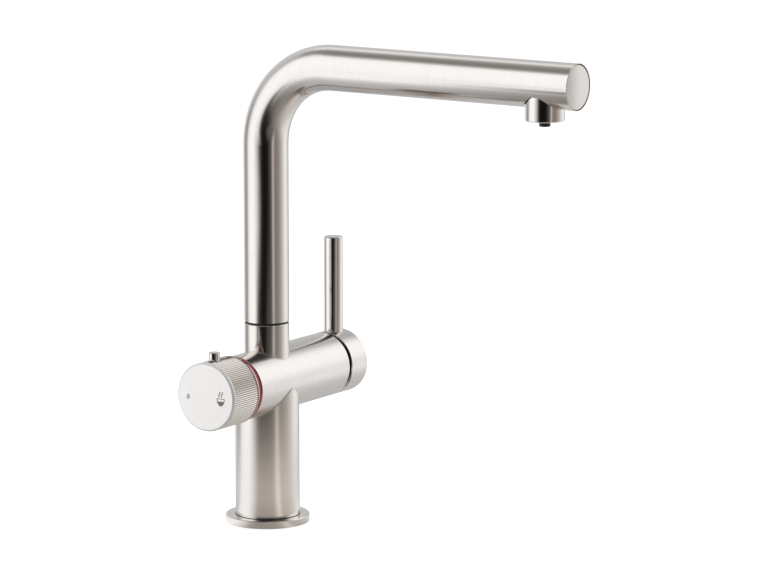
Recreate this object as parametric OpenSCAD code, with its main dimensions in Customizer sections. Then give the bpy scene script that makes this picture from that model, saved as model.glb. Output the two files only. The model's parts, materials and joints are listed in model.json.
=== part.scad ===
// Boiling water tap: a mixer tap whose left knob draws filtered or boiling water.
// The origin is the centre of the base's underside, on the deck. +Z is up, the
// spout points along -Y, the knob is on the left (-X) and the lever on the right.

/* [Column and barrel] */
// Diameter of the round base that stands on the deck
base_d = 60; // [56:0.5:72]
// Thickness of the round base
base_h = 5.2; // [4:0.1:9]
// Diameter of the upright column
column_d = 46; // [45:0.1:50]
// Diameter of the level barrel
barrel_d = 46.4; // [46:0.1:50]
// Height of the barrel's axis above the deck
barrel_h = 102; // [96:0.5:130]
// Reach of the barrel from the column's axis to the left
barrel_left = 38.7; // [38:0.1:41]
// Reach of the barrel from the column's axis to the right
barrel_right = 71.5; // [71.5:0.1:80]
// Wall of the column and the barrel
shell_wall = 2.6; // [2:0.1:2.8]
// Diameter of the neck under the spout
neck_d = 32; // [31:0.1:36]
// Wall of the neck
neck_wall = 3; // [1.8:0.1:3.4]
// Height of the neck's top above the barrel's axis
neck_rise = 41.9; // [36:0.1:60]
// Small bevel on outer edges
edge = 0.5; // [0.2:0.05:0.8]

/* [Spout] */
// Diameter of the spout pipe
pipe_d = 32; // [31.6:0.1:36]
// Wall of the spout pipe
pipe_wall = 1.8; // [1.2:0.1:1.9]
// Height of the spout's axis above the deck
spout_h = 329.5; // [290:0.5:380]
// Reach of the spout from the column's axis to its end face
spout_reach = 255.5; // [180:0.5:300]
// Radius of the spout's bend, on its axis
bend_r = 57; // [45:0.5:80]
// Thickness of the black ring that the spout turns on
swivel_ring_h = 1.6; // [1:0.1:3]
// Width of the black line round the end cap
seal_w = 0.4; // [0.3:0.05:0.6]
// Distance from the spout's end face to the outlet's axis
outlet_inset = 25.7; // [22:0.1:28]
// Diameter of the outlet collar
collar_d = 27; // [25:0.1:27.6]
// Depth of the outlet collar below the pipe
collar_drop = 8.3; // [6:0.1:12]
// Gap between the collar and the hole in the pipe
collar_gap = 0.9; // [0.6:0.1:1.4]
// Diameter of the boiling water tip
tip_d = 7.8; // [7:0.1:9]
// Depth of the boiling water tip below the collar
tip_drop = 3.9; // [2:0.1:8]

/* [Knob] */
// Diameter of the selector knob
knob_d = 48.8; // [48:0.1:54]
// Distance from the column's axis to the knob's face
knob_reach = 75; // [74:0.1:80]
// Bevel round the knob's face
face_bevel = 1.2; // [0.6:0.1:2]
// Width of the smooth rim in front of the knurl
rim_w = 2.8; // [2:0.1:4]
// Width of the smooth edge behind the knurl
rear_rim_w = 1.4; // [1:0.1:3]
// Number of knurl grooves
knurl_count = 100; // [60:1:120]
// Depth of the knurl grooves
knurl_depth = 0.55; // [0.2:0.05:0.8]
// Wall of the knurled sleeve
sleeve_wall = 3.4; // [2.6:0.1:3.8]
// Width of the red ring
red_ring_w = 4.1; // [3.6:0.1:6]
// Diameter of the red ring
red_ring_d = 45; // [42:0.1:46]
// Diameter of the safety button
button_d = 8; // [6:0.1:8.6]
// Height of the safety button above the knob
button_proud = 5.9; // [5:0.1:9]
// Travel of the safety button
button_travel = 4; // [2:0.1:4.5]
// Distance from the knob's face to the button's axis
button_inset = 11.2; // [10.6:0.1:12]

/* [Lever] */
// Gap between the barrel and the lever's hub
hub_gap = 2.8; // [2.4:0.1:5]
// Length of the lever's hub
hub_len = 20.2; // [18:0.1:26]
// Angle of the flat on the hub's lower back
hub_flat_angle = 11; // [10:0.5:16]
// Depth below the axis where that flat starts
hub_flat_start = 3; // [1:0.1:5]
// Diameter of the lever rod
rod_d = 13.6; // [10:0.1:15]
// Distance from the hub's back to the rod's axis
rod_inset = 10.2; // [9:0.1:11]
// Height of the rod's top above the barrel's axis
rod_rise = 92.5; // [60:0.5:120]
// Tilt of the lever when it is fully open
tilt_open = 12; // [8:0.5:12]

/* [Valves] */
// Wall of the valve core round the mixer cartridge
core_wall = 3.1; // [2.6:0.1:3.2]
// Diameter of the selector cartridge
selector_d = 36; // [33:0.1:38]
// Thickness of each ceramic disc
disc_h = 4; // [3.6:0.1:4.2]
// Diameter of the selector spindle
spindle_d = 10; // [8:0.1:10.4]
// Diameter of the lever's stem
stem_d = 8; // [7:0.1:8.4]
// Distance from the column's axis to the lever's pivot
pivot_x = 58; // [57:0.1:59]
// Diameter of the pivot pin
pivot_d = 4; // [3:0.1:4.6]
// Diameter of the ball on the stem's end
ball_d = 6; // [5:0.1:6.4]

/* [Water ways] */
// Bore of the threaded inlets
inlet_bore = 9; // [8.5:0.1:9.2]
// Depth of the threaded inlets
inlet_depth = 12; // [8:0.5:13]
// Offset of the inlets from the column's axis, left and right
inlet_x = 12; // [11.8:0.1:12.4]
// Offset of the inlets from the column's axis, front and back
inlet_y = 7.5; // [7:0.1:7.8]
// Bore of the threaded stud holes
stud_bore = 5; // [4:0.1:5]
// Spacing of the stud holes
stud_spacing = 32; // [31.6:0.1:32.4]
// Diameter of the riser tubes
riser_d = 8; // [7:0.1:8]
// Wall of the riser tubes
riser_wall = 1; // [0.8:0.1:1.2]
// Bore of the ports and the drilled ways
port_d = 5; // [4:0.1:5]
// Diameter of the boiling water tube
tube_d = 6; // [5:0.1:6]
// Wall of the boiling water tube
tube_wall = 1; // [0.6:0.1:1]

/* [Clearances] */
// Radial clearance of a shaft in its bearing
run_fit = 0.05; // [0.02:0.01:0.08]
// Free gap between pieces that pass each other
free_gap = 0.3; // [0.3:0.05:0.4]

/* [Hidden] */
$fn = 72;

satin = "#c9c4bd";
polished = "#dddddf";
brass = "#c9a24e";
copper = "#b8734a";
steel = "#9aa0a6";
black = "#1c1c1e";
rubber = "#2b2b2b";
red = "#b3151a";
white = "#ecebe6";
ceramic = "#f2efe9";

// Column, barrel and neck
column_bore = column_d - 2 * shell_wall;
barrel_bore = barrel_d - 2 * shell_wall;
neck_bore = neck_d - 2 * neck_wall;
neck_top = barrel_h + neck_rise;
shell_foot = 0.5;
gasket_h = 1.2;
gasket_w = 3.5;
gasket_inset = 2;
gasket_d = column_d + 2 * gasket_inset;

// Inlet manifold in the foot of the column
manifold_z = 12;
manifold_h = 22;
manifold_top = manifold_z + manifold_h;
clip_h = 1.5;
clip_groove = 0.8;
clip_w = 2;
socket_depth = 8;
riser_foot = manifold_top - socket_depth;
riser_rise = 10;
riser_top = barrel_h - riser_rise;
riser_ring_inset = 3;
riser_ring_z = riser_top - riser_ring_inset;
stud_depth = 12;
INLETS = [for (sx = [-1, 1], sy = [-1, 1]) [sx * inlet_x, sy * inlet_y]];

// Small rubber rings
ring_section = 1.2;
tube_ring_section = 1.4;
spigot_ring_section = 1.8;

// Selector stack, as distances to the left of the column's axis
core_left = 17.5;
selector_seal_h = 2;
sel_fixed = core_left + selector_seal_h;
sel_moving = sel_fixed + disc_h + run_fit;
sel_driver = sel_moving + disc_h;
driver_h = 3.7;
sel_wall = sel_driver + driver_h + free_gap;
selector_wall_h = 3;
selector_wall = 3.8;
sel_neck = sel_wall + selector_wall_h;
sel_chamber_d = selector_d - 2 * selector_wall;
sel_disc_play = 0.7;
sel_disc_d = sel_chamber_d - 2 * sel_disc_play;
sel_port_r = 8.5;
selector_neck_d = 20;
spindle_bore = spindle_d + 2 * run_fit;
driver_d = 20;
driver_lug_d = 3;
driver_lug_r = 7;
driver_lug_h = 1.6;
nut_spigot_d = 34;
nut_spigot_h = 3.3;
neck_ring_inset = 5;

// Knob, as distances to the left of the column's axis
knob_r = knob_d / 2;
ring_end = barrel_left + red_ring_w;
knob_gap = 0.4;
knob_back = ring_end + knob_gap;
knurl_inset = 0.06;
sleeve_bore = knob_d - 2 * sleeve_wall;
cap_front = knob_reach - rim_w;
knob_cap_h = 4.5;
cap_back = knob_reach - knob_cap_h;
knob_hub_h = 14;
hub_back = cap_back - knob_hub_h;
hub_boss_d = 17;
button_x = knob_reach - button_inset;
hub_boss_h = 5.5;
boss_back = hub_back - hub_boss_h;
stop_gap = 1;
stop_front = boss_back - stop_gap;
stop_h = 5.5;
stop_d = 34;
peg_r = 14;
peg_d = 3;
peg_bite = 4;
peg_back = stop_front - peg_bite;
knob_turn = 90;
stop_swing = knob_turn + asin((peg_d / 2 + free_gap) / peg_r);
spindle_gap = 0.5;
spindle_end = cap_back - spindle_gap;

// Safety button, as radii from the knob's axis
button_top = knob_r + button_proud;
guide_h = 4;
button_shoulder = sleeve_bore / 2 - guide_h;
flange_w = 1.2;
button_flange_d = button_d + 2 * flange_w;
button_flange_h = 1.5;
button_flange_top = button_shoulder - free_gap;
button_foot = button_flange_top - button_flange_h;
spring_closed_h = 3;
button_floor = button_foot - button_travel - spring_closed_h;
button_pocket_d = button_flange_d + 2 * free_gap;
spring_wire = 0.9;
spring_d = button_flange_d - flange_w;
spring_turns = 4;
spring_steps = 16;
knob_screw_d = 4;
knob_screw_len = 8;

// Mixer stack, as distances to the right of the column's axis
core_right = 24;
mixer_base_h = 4;
mix_fixed = core_right + mixer_base_h;
mix_moving = mix_fixed + disc_h + run_fit;
mix_carrier = mix_moving + disc_h;
carrier_h = 6.25;
mix_turret = mix_carrier + carrier_h + free_gap;
turret_h = 23;
mix_lip = mix_turret + turret_h + free_gap;
lip_h = 2.6;
mix_front = mix_lip + lip_h;
mixer_wall = 2.1;
mixer_d = barrel_bore - 2 * core_wall;
mixer_chamber_d = mixer_d - 2 * mixer_wall;
turret_step = 1.4;
turret_d = mixer_chamber_d - 2 * turret_step;
turret_bore = turret_d + 2 * run_fit;
mix_disc_step = 4;
mix_disc_d = mixer_chamber_d - 2 * mix_disc_step;
mix_in_y = 6;
mix_in_z = 6;
mix_out_z = -6.6;
MIX_PORTS = [[mix_in_z, -mix_in_y], [mix_in_z, mix_in_y], [mix_out_z, 0]];
mix_recess_rim = 1.8;
mix_recess_d = mix_disc_d - 2 * mix_recess_rim;
mix_recess_top = 2;
mix_recess_h = 2.2;
tongue_w = 12;
tongue_h = 2.1;
tongue_len = 14;
ball_x = 41;
ball_play = 0.3;
slot_w = stem_d + 2 * free_gap;
nose_step = 5.6;
nose_d = barrel_bore - 2 * nose_step;
turret_ring_inset = 4;
nut_h = 3.2;
shroud_h = 2;
mix_seal_d = 6;

// How far a stem of the half height h reaches up or down at x when the lever is open
function swing(x, h) = abs(x - pivot_x) * sin(tilt_open) + h * cos(tilt_open);
// The round opening that the stem needs there, at any turn of the lever
function swing_bore(x) = 2 * (norm([swing(x, stem_d / 2), stem_d / 2]) + 2 * free_gap);

neck_bar_d = 4;
slot_h = 2 * (max(swing(mix_turret, neck_bar_d / 2), swing(mix_lip, stem_d / 2)) + free_gap);
lip_bore = swing_bore(mix_front);
shroud_end = mix_lip + nut_h + shroud_h;
shroud_bore = swing_bore(shroud_end);

// Lever
hub_back_x = barrel_right + hub_gap;
hub_front_x = hub_back_x + hub_len;
rod_x = hub_back_x + rod_inset;
rod_seat = 9;
rod_sink = 1.6;
bar_x = 52;
bar_end = barrel_right + 0.5;
hub_front_wall = 4.5;
stem_end = hub_front_x - hub_front_wall;
lever_screw_d = 5;
lever_screw_len = 8;
lever_plug_len = 4;

// Spigot that carries the spout
spigot_d = 22;
spigot_rise = 10;
spigot_floor = barrel_h + spigot_rise;
plenum_h = 6;
plenum_floor = spigot_floor - plenum_h;
plenum_wall = 2.1;
plenum_in_d = port_d + 2 * plenum_wall;
plenum_out_d = 19.2;
plenum_r = (plenum_in_d + plenum_out_d) / 4;
swivel_top = neck_top + swivel_ring_h;
pipe_foot = swivel_top + run_fit;
bush_h = 30;
bush_inset = 0.6;
bush_foot = pipe_foot + bush_inset;
bush_top = bush_foot + bush_h;
glide_h = 1.3;
glide_foot = bush_top + run_fit;
clip_foot = glide_foot + glide_h;
spout_clip_h = 1.2;
spigot_tail = 3.4;
spigot_top = clip_foot + spout_clip_h + spigot_tail;
clip_wall = 1.8;
spigot_port_d = 3.6;
spigot_port_r = 6.8;
spigot_bore = tube_d + 2 * run_fit;
tube_lift = 6;
tube_foot = neck_top + tube_lift;
tube_ring_rise = 16;
tube_ring_z = tube_foot + tube_ring_rise;
bush_ring_inset = 6;
SPIGOT_RINGS = [bush_foot + bush_ring_inset, bush_top - bush_ring_inset];
spigot_shoulder_gap = 3;

// Spout pipe and outlet
pipe_bore = pipe_d - 2 * pipe_wall;
outlet_y = spout_reach - outlet_inset;
pipe_bottom = spout_h - pipe_d / 2;
collar_z = pipe_bottom - collar_drop;
collar_neck_d = 20;
collar_neck_h = 2.4;
collar_wall = 1.9;
collar_bore = collar_d - 2 * collar_wall;
collar_step = 3;
collar_neck_bore = 17.2;
hole_d = collar_d + 2 * collar_gap;
hole_rim = spout_h - sqrt(pow(pipe_d / 2, 2) - pow(hole_d / 2, 2));
collar_top = hole_rim;
collar_h = collar_top - collar_z;
block_reach = 22;
block_start = outlet_y - block_reach;
cap_h = 6;
cap_inset = 0.1;
cap_bevel = 0.2;
mouth_wall = 0.3;
mouth_d = pipe_d - 2 * mouth_wall;
mouth_h = 2.5;
tip_z = collar_z - tip_drop;
tip_bore = 4.5;
tube_bend_r = 12;
tube_tail = 4;
tube_end = spout_h - tube_bend_r - tube_tail;
nozzle_grip = 3;
nozzle_top = tube_end + nozzle_grip;
nozzle_socket = 5;
aerator_lift = 0.7;
aerator_seal_h = 1;
aerator_hole_d = 2.4;
way_x = 6;
way_d = 4;
way_rise = 2.5;

// ---- Placing and basic shapes ----

// Local +Z runs to the right along the barrel, and local +X points down
module to_right(x) {
  translate([x, 0, barrel_h]) rotate([0, 90, 0]) children();
}

// Local +Z runs to the left along the barrel, and local +X points up
module to_left(x) {
  translate([-x, 0, barrel_h]) rotate([0, -90, 0]) children();
}

// A bar with a bevel on both ends
module bar(d, h, bevel) {
  r = d / 2;
  rotate_extrude()
    polygon([[0, 0], [r - bevel, 0], [r, bevel], [r, h - bevel], [r - bevel, h], [0, h]]);
}

// A plain tube
module tube(d_out, d_in, h) {
  rotate_extrude() translate([d_in / 2, 0]) square([(d_out - d_in) / 2, h]);
}

// A rubber ring whose outside touches the given diameter
module ring_inside(d, section) {
  rotate_extrude() translate([(d - section) / 2, 0]) circle(d = section, $fn = 32);
}

// The square groove that takes such a ring
module ring_groove(d, section) {
  translate([0, 0, -section / 2 - 0.1])
    rotate_extrude() translate([d / 2 - section, 0]) square([section + 1, section + 0.2]);
}

// A quarter bend in the plane of the spout, from the angle given
module bend(radius, y, z, from) {
  translate([0, y, z]) rotate([90, 0, 90]) rotate([0, 0, from])
    rotate_extrude(angle = 90) translate([radius, 0]) children();
}

// A round rod that follows the spout's axis from height z to the reach y
module spout_rod(d, z, y) {
  translate([0, 0, z]) cylinder(d = d, h = spout_h - bend_r - z);
  bend(bend_r, -bend_r, spout_h - bend_r, 0) circle(d = d);
  translate([0, -bend_r, spout_h]) rotate([90, 0, 0]) cylinder(d = d, h = y - bend_r);
}

// The boiling water tube's way through the outlet, from the reach y down to height z
module outlet_rod(d, y, z) {
  bend_y = outlet_y - tube_bend_r;
  translate([0, -y, spout_h]) rotate([90, 0, 0]) cylinder(d = d, h = bend_y - y);
  bend(tube_bend_r, -bend_y, spout_h - tube_bend_r, 90) circle(d = d);
  translate([0, -outlet_y, z]) cylinder(d = d, h = spout_h - tube_bend_r - z);
}

// ---- Body ----

module base_ring() {
  r = base_d / 2;
  color(satin) difference() {
    rotate_extrude()
      polygon([[column_d / 2, 0], [r, 0], [r, base_h - edge], [r - edge, base_h], [column_d / 2, base_h]]);
    translate([0, 0, -1]) tube(gasket_d + 2 * gasket_w, gasket_d, gasket_h + 1);
  }
}

module base_gasket() {
  color(rubber) tube(gasket_d + 2 * gasket_w, gasket_d, gasket_h);
}

module body_shell() {
  color(satin) difference() {
    union() {
      translate([0, 0, shell_foot]) cylinder(d = column_d, h = barrel_h - shell_foot);
      to_right(-barrel_left) bar(barrel_d, barrel_left + barrel_right, edge);
      translate([0, 0, barrel_h]) bar(neck_d, neck_rise, edge / 2);
    }
    cylinder(d = column_bore, h = barrel_h);
    to_right(-barrel_left - 1) cylinder(d = barrel_bore, h = barrel_left + barrel_right + 2);
    translate([0, 0, barrel_h]) cylinder(d = neck_bore, h = neck_rise + 1);
    translate([0, 0, manifold_z - clip_h]) cylinder(d = column_bore + 2 * clip_groove, h = clip_h);
  }
}

module inlet_manifold() {
  color(brass) difference() {
    translate([0, 0, manifold_z]) cylinder(d = column_bore, h = manifold_h);
    for (p = INLETS) translate([p.x, p.y, manifold_z]) {
      translate([0, 0, -1]) cylinder(d = inlet_bore, h = inlet_depth + 1);
      cylinder(d = port_d, h = manifold_h);
      translate([0, 0, manifold_h - socket_depth]) cylinder(d = riser_d, h = socket_depth + 1);
      translate([0, 0, manifold_h - socket_depth / 2]) ring_groove(riser_d + 2 * ring_section, ring_section);
    }
    for (s = [-1, 1]) translate([s * stud_spacing / 2, 0, manifold_z - 1])
      cylinder(d = stud_bore, h = stud_depth + 1);
  }
}

module manifold_clip() {
  d = column_bore + 2 * clip_groove;
  color(steel) translate([0, 0, manifold_z - clip_h]) difference() {
    tube(d, d - 2 * clip_w, clip_h);
    translate([0, -d / 2, -1]) cube([6, 2 * clip_w + 2, 2 * clip_h + 4], center = true);
  }
}

module riser(i) {
  color(copper) translate([INLETS[i].x, INLETS[i].y, riser_foot])
    tube(riser_d, riser_d - 2 * riser_wall, riser_top - riser_foot);
}

module filtered_riser() riser(0);
module boiling_riser() riser(1);
module cold_riser() riser(2);
module hot_riser() riser(3);

module riser_o_rings() {
  color(rubber) for (p = INLETS, z = [manifold_top - socket_depth / 2, riser_ring_z])
    translate([p.x, p.y, z]) ring_inside(riser_d + 2 * ring_section, ring_section);
}

// The brass block in the barrel: sockets for the risers and the spigot, and the drilled ways
module valve_core() {
  mixed_z = barrel_h + mix_out_z;
  color(brass) difference() {
    to_right(-core_left) cylinder(d = barrel_bore, h = core_left + mix_lip);
    to_right(core_right) cylinder(d = mixer_d, h = mix_lip - core_right + 1);
    translate([0, 0, spigot_floor]) cylinder(d = spigot_d, h = barrel_bore);
    translate([0, 0, plenum_floor]) tube(plenum_out_d, plenum_in_d, spigot_floor - plenum_floor + 0.01);
    for (p = INLETS) translate([p.x, p.y, 0]) {
      cylinder(d = riser_d, h = riser_top);
      translate([0, 0, riser_ring_z]) ring_groove(riser_d + 2 * ring_section, ring_section);
      cylinder(d = port_d, h = barrel_h + (p.x > 0 ? mix_in_z : 0) + port_d / 2);
    }
    for (s = [-1, 1]) {
      to_right(inlet_x) translate([-mix_in_z, s * mix_in_y, 0]) cylinder(d = port_d, h = core_right);
      to_left(inlet_x) translate([0, s * sel_port_r, 0]) cylinder(d = port_d, h = core_left);
    }
    to_left(0) cylinder(d = port_d, h = core_left + 1);
    translate([0, 0, barrel_h]) cylinder(d = port_d, h = spigot_floor - barrel_h + 1);
    to_right(plenum_r) translate([-mix_out_z, 0, 0]) cylinder(d = port_d, h = core_right);
    translate([plenum_r, 0, mixed_z]) cylinder(d = port_d, h = plenum_floor - mixed_z + 1);
  }
}

module spout_spigot() {
  shaft = spigot_d / 2;
  shoulder = neck_bore / 2;
  shoulder_z = barrel_h + barrel_bore / 2 + spigot_shoulder_gap;
  color(brass) difference() {
    rotate_extrude()
      polygon([[0, spigot_floor], [shaft, spigot_floor], [shaft, shoulder_z], [shoulder, shoulder_z],
               [shoulder, neck_top], [shaft, neck_top], [shaft, clip_foot], [shaft - 1, clip_foot],
               [shaft - 1, clip_foot + spout_clip_h], [shaft, clip_foot + spout_clip_h],
               [shaft, spigot_top - edge], [shaft - edge, spigot_top], [0, spigot_top]]);
    translate([0, 0, spigot_floor - 1]) cylinder(d = port_d, h = spigot_top);
    translate([0, 0, tube_foot]) cylinder(d = spigot_bore, h = spigot_top);
    translate([0, 0, tube_ring_z]) cylinder(d = spigot_bore + 2 * tube_ring_section,
                                            h = tube_ring_section + 0.2, center = true);
    for (a = [45 : 90 : 359]) rotate(a) translate([spigot_port_r, 0, spigot_floor - 1])
      cylinder(d = spigot_port_d, h = spigot_top);
    for (z = SPIGOT_RINGS) translate([0, 0, z]) ring_groove(spigot_d, spigot_ring_section);
  }
}

module spigot_o_rings() {
  color(rubber) for (z = SPIGOT_RINGS) translate([0, 0, z]) ring_inside(spigot_d, spigot_ring_section);
}

module tube_o_ring() {
  color(rubber) translate([0, 0, tube_ring_z])
    ring_inside(spigot_bore + 2 * tube_ring_section, tube_ring_section);
}

module lower_glide_ring() {
  color(black) translate([0, 0, neck_top]) tube(neck_d - 2 * edge, spigot_d, swivel_ring_h);
}

module upper_glide_ring() {
  color(white) translate([0, 0, glide_foot]) tube(pipe_bore - 2 * free_gap, spigot_d, glide_h);
}

module spout_clip() {
  d = spigot_d + 2 * clip_wall;
  color(steel) translate([0, 0, clip_foot]) difference() {
    tube(d, spigot_d - 2, spout_clip_h);
    translate([0, d / 2, 0]) cube([4, 2 * (d - spigot_d) + 3, 4 * spout_clip_h], center = true);
  }
}

module red_ring() {
  color(red) to_left(barrel_left) tube(red_ring_d, nut_spigot_d, red_ring_w);
}

// ---- Selector cartridge in the left of the barrel ----

module selector_housing() {
  color(brass) to_left(core_left) difference() {
    union() {
      cylinder(d = selector_d, h = sel_neck - core_left);
      cylinder(d = selector_neck_d, h = stop_front - core_left);
      translate([0, 0, sel_wall - core_left])
        cylinder(d = barrel_bore - 2 * free_gap, h = selector_wall_h);
    }
    translate([0, 0, -1]) cylinder(d = sel_chamber_d, h = sel_wall - core_left + 1);
    cylinder(d = spindle_bore, h = stop_front);
  }
}

module selector_nut() {
  color(brass) to_left(sel_neck) {
    tube(barrel_bore, selector_neck_d + 2 * free_gap, barrel_left - sel_neck);
    translate([0, 0, barrel_left - sel_neck])
      tube(nut_spigot_d, selector_neck_d + 2 * free_gap, nut_spigot_h);
  }
}

// The three ways of the selector: one each side, and the outlet in the middle
module selector_ports(h) {
  for (y = [-sel_port_r, 0, sel_port_r]) translate([0, y, -1]) cylinder(d = port_d, h = h + 2);
}

module selector_seal() {
  color(rubber) to_left(core_left) difference() {
    cylinder(d = sel_chamber_d, h = selector_seal_h);
    selector_ports(selector_seal_h);
  }
}

module selector_fixed_disc() {
  color(ceramic) to_left(sel_fixed) difference() {
    cylinder(d = sel_chamber_d, h = disc_h);
    selector_ports(disc_h);
  }
}

// A ring on the cartridge's neck whose slot ends the knob's turn
module stop_ring() {
  color(black) to_left(stop_front - stop_h) difference() {
    tube(stop_d, selector_neck_d, stop_h);
    translate([0, 0, -1]) rotate(-stop_swing) rotate_extrude(angle = 2 * stop_swing)
      translate([peg_r - peg_d / 2 - free_gap, 0]) square([peg_d + 2 * free_gap, stop_h + 2]);
  }
}

// ---- Mixer cartridge in the right of the barrel ----

module mixer_ports(h) {
  for (p = MIX_PORTS) translate([-p.x, p.y, -1]) cylinder(d = port_d, h = h + 2);
}

module mixer_base() {
  color(white) to_right(core_right) difference() {
    cylinder(d = mixer_d, h = mixer_base_h);
    mixer_ports(mixer_base_h);
    for (p = MIX_PORTS) translate([-p.x, p.y, -1])
      cylinder(d = mix_seal_d + 2 * ring_section, h = ring_section + 1);
  }
}

module mixer_base_seals() {
  color(rubber) to_right(core_right) for (p = MIX_PORTS) translate([-p.x, p.y, 0])
    tube(mix_seal_d + 2 * ring_section, mix_seal_d, ring_section);
}

module mixer_fixed_disc() {
  color(ceramic) to_right(mix_fixed) difference() {
    cylinder(d = mixer_chamber_d, h = disc_h);
    mixer_ports(disc_h);
  }
}

module mixer_housing() {
  chamber_h = mix_turret - free_gap - mix_fixed;
  color(white) to_right(mix_fixed) difference() {
    union() {
      cylinder(d = mixer_d, h = mix_lip - mix_fixed);
      cylinder(d = nose_d, h = mix_front - mix_fixed);
    }
    translate([0, 0, -1]) cylinder(d = mixer_chamber_d, h = chamber_h + 1);
    cylinder(d = turret_bore, h = mix_lip - mix_fixed);
    cylinder(d = lip_bore, h = mix_front);
  }
}

module mixer_nut() {
  color(brass) to_right(mix_lip) tube(barrel_bore, nose_d, nut_h);
}

module mixer_shroud() {
  color(black) to_right(mix_lip + nut_h) tube(barrel_bore, shroud_bore, shroud_h);
}

// ---- Spout ----

module spout_pipe() {
  color(satin) difference() {
    spout_rod(pipe_d, pipe_foot, spout_reach);
    spout_rod(pipe_bore, pipe_foot - 1, spout_reach + 1);
    translate([0, -spout_reach - 1, spout_h]) rotate([-90, 0, 0]) cylinder(d = mouth_d, h = mouth_h + 1);
    translate([0, -outlet_y, pipe_bottom - 1]) cylinder(d = hole_d, h = hole_rim - pipe_bottom + 2);
  }
}

module spout_bush() {
  color(white) translate([0, 0, bush_foot]) tube(pipe_bore, spigot_d + 2 * run_fit, bush_h);
}

module end_cap() {
  color(satin) translate([0, cap_inset - spout_reach, spout_h]) rotate([-90, 0, 0]) {
    bar(mouth_d - 2 * seal_w, mouth_h - cap_inset, cap_bevel);
    cylinder(d = pipe_bore, h = cap_h - cap_inset);
  }
}

module end_cap_seal() {
  color(black) translate([0, edge - spout_reach, spout_h]) rotate([-90, 0, 0])
    tube(mouth_d, mouth_d - 2 * seal_w, mouth_h - edge);
}

// The plug in the spout's end that carries the outlet
module outlet_block() {
  len = spout_reach - cap_h - block_start;
  color(white) difference() {
    translate([0, -block_start, spout_h]) rotate([90, 0, 0]) cylinder(d = pipe_bore, h = len);
    outlet_rod(tube_d, block_start - 1, tube_end);
    translate([0, -outlet_y, collar_top - pipe_d / 2]) cube([pipe_d, hole_d, pipe_d], center = true);
    translate([0, -outlet_y, collar_top - 1]) cylinder(d = collar_neck_d, h = collar_neck_h + 1);
    for (s = [-1, 1]) {
      translate([s * way_x, -block_start + 1, spout_h - way_rise]) rotate([90, 0, 0])
        cylinder(d = way_d, h = outlet_y - block_start + 3);
      translate([s * way_x, -outlet_y, collar_top]) cylinder(d = way_d, h = spout_h - way_rise - collar_top);
    }
  }
}

module outlet_collar() {
  color(polished) translate([0, -outlet_y, collar_z]) difference() {
    union() {
      bar(collar_d, collar_h, edge);
      cylinder(d = collar_neck_d, h = collar_h + collar_neck_h);
    }
    translate([0, 0, -1]) cylinder(d = collar_bore, h = collar_h - collar_step + 1);
    cylinder(d = collar_neck_bore, h = 2 * collar_h);
  }
}

module aerator() {
  d = (collar_bore + tip_d) / 2;
  color(white) translate([0, -outlet_y, collar_z + aerator_lift]) difference() {
    tube(collar_bore, tip_d, collar_h - collar_step - aerator_seal_h - aerator_lift);
    for (a = [0 : 30 : 359]) rotate(a) translate([d / 2, 0, -1]) cylinder(d = aerator_hole_d, h = collar_h);
  }
}

module aerator_seal() {
  color(rubber) translate([0, -outlet_y, collar_top - collar_step - aerator_seal_h])
    tube(collar_bore, collar_neck_bore + 1, aerator_seal_h);
}

module boiling_nozzle() {
  color(black) translate([0, -outlet_y, tip_z]) difference() {
    bar(tip_d, nozzle_top - tip_z, 0.4);
    translate([0, 0, -1]) cylinder(d = tip_bore, h = nozzle_top);
    translate([0, 0, tube_end - tip_z]) cylinder(d = tube_d, h = nozzle_socket);
  }
}

module boiling_tube() {
  inner = tube_d - 2 * tube_wall;
  bend_y = outlet_y - tube_bend_r;
  color(copper) difference() {
    union() {
      spout_rod(tube_d, tube_foot, bend_y);
      outlet_rod(tube_d, bend_y - 1, tube_end);
    }
    spout_rod(inner, tube_foot - 1, bend_y);
    outlet_rod(inner, bend_y - 1, tube_end - 1);
  }
}

// ---- Knob ----

// The knurled outline: one V groove for each step round
function knurl() = [for (i = [0 : 2 * knurl_count - 1])
  let (a = 180 * i / knurl_count, r = knob_r - knurl_inset - (i % 2) * knurl_depth)
  [r * cos(a), r * sin(a)]];

module knob_sleeve() {
  back = knob_back + edge;
  color(satin) difference() {
    union() {
      to_left(knob_back) rotate_extrude()
        polygon([[0, 0], [knob_r - edge, 0], [knob_r, edge], [knob_r, rear_rim_w], [0, rear_rim_w]]);
      to_left(back) linear_extrude(cap_front - back) polygon(knurl());
    }
    to_left(0) cylinder(d = sleeve_bore, h = knob_reach);
    translate([-button_x, 0, barrel_h]) cylinder(d = button_d + 1, h = knob_d);
    translate([-button_x, 0, barrel_h - knob_d]) cylinder(d = knob_screw_d + 1, h = knob_d);
  }
}

module knob_cap() {
  rim = sleeve_bore / 2;
  color(satin) to_left(0) rotate_extrude()
    polygon([[0, cap_back], [rim, cap_back], [rim, cap_front], [knob_r, cap_front],
             [knob_r, knob_reach - face_bevel], [knob_r - face_bevel, knob_reach], [0, knob_reach]]);
}

module knob_hub() {
  color(black) difference() {
    union() {
      to_left(hub_back) cylinder(d = sleeve_bore, h = cap_back - hub_back);
      to_left(boss_back) cylinder(d = hub_boss_d, h = hub_back - boss_back);
      to_left(peg_back) translate([peg_r, 0, 0]) cylinder(d = peg_d, h = hub_back - peg_back);
    }
    to_left(0) cylinder(d = spindle_d, h = spindle_end);
    translate([-button_x, 0, barrel_h]) {
      translate([0, 0, button_floor + 1]) cylinder(d = button_d + 2 * run_fit, h = knob_d);
      translate([0, 0, button_floor]) cylinder(d = button_pocket_d, h = button_shoulder - button_floor);
      mirror([0, 0, 1]) cylinder(d = knob_screw_d, h = knob_d);
    }
  }
}

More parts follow.
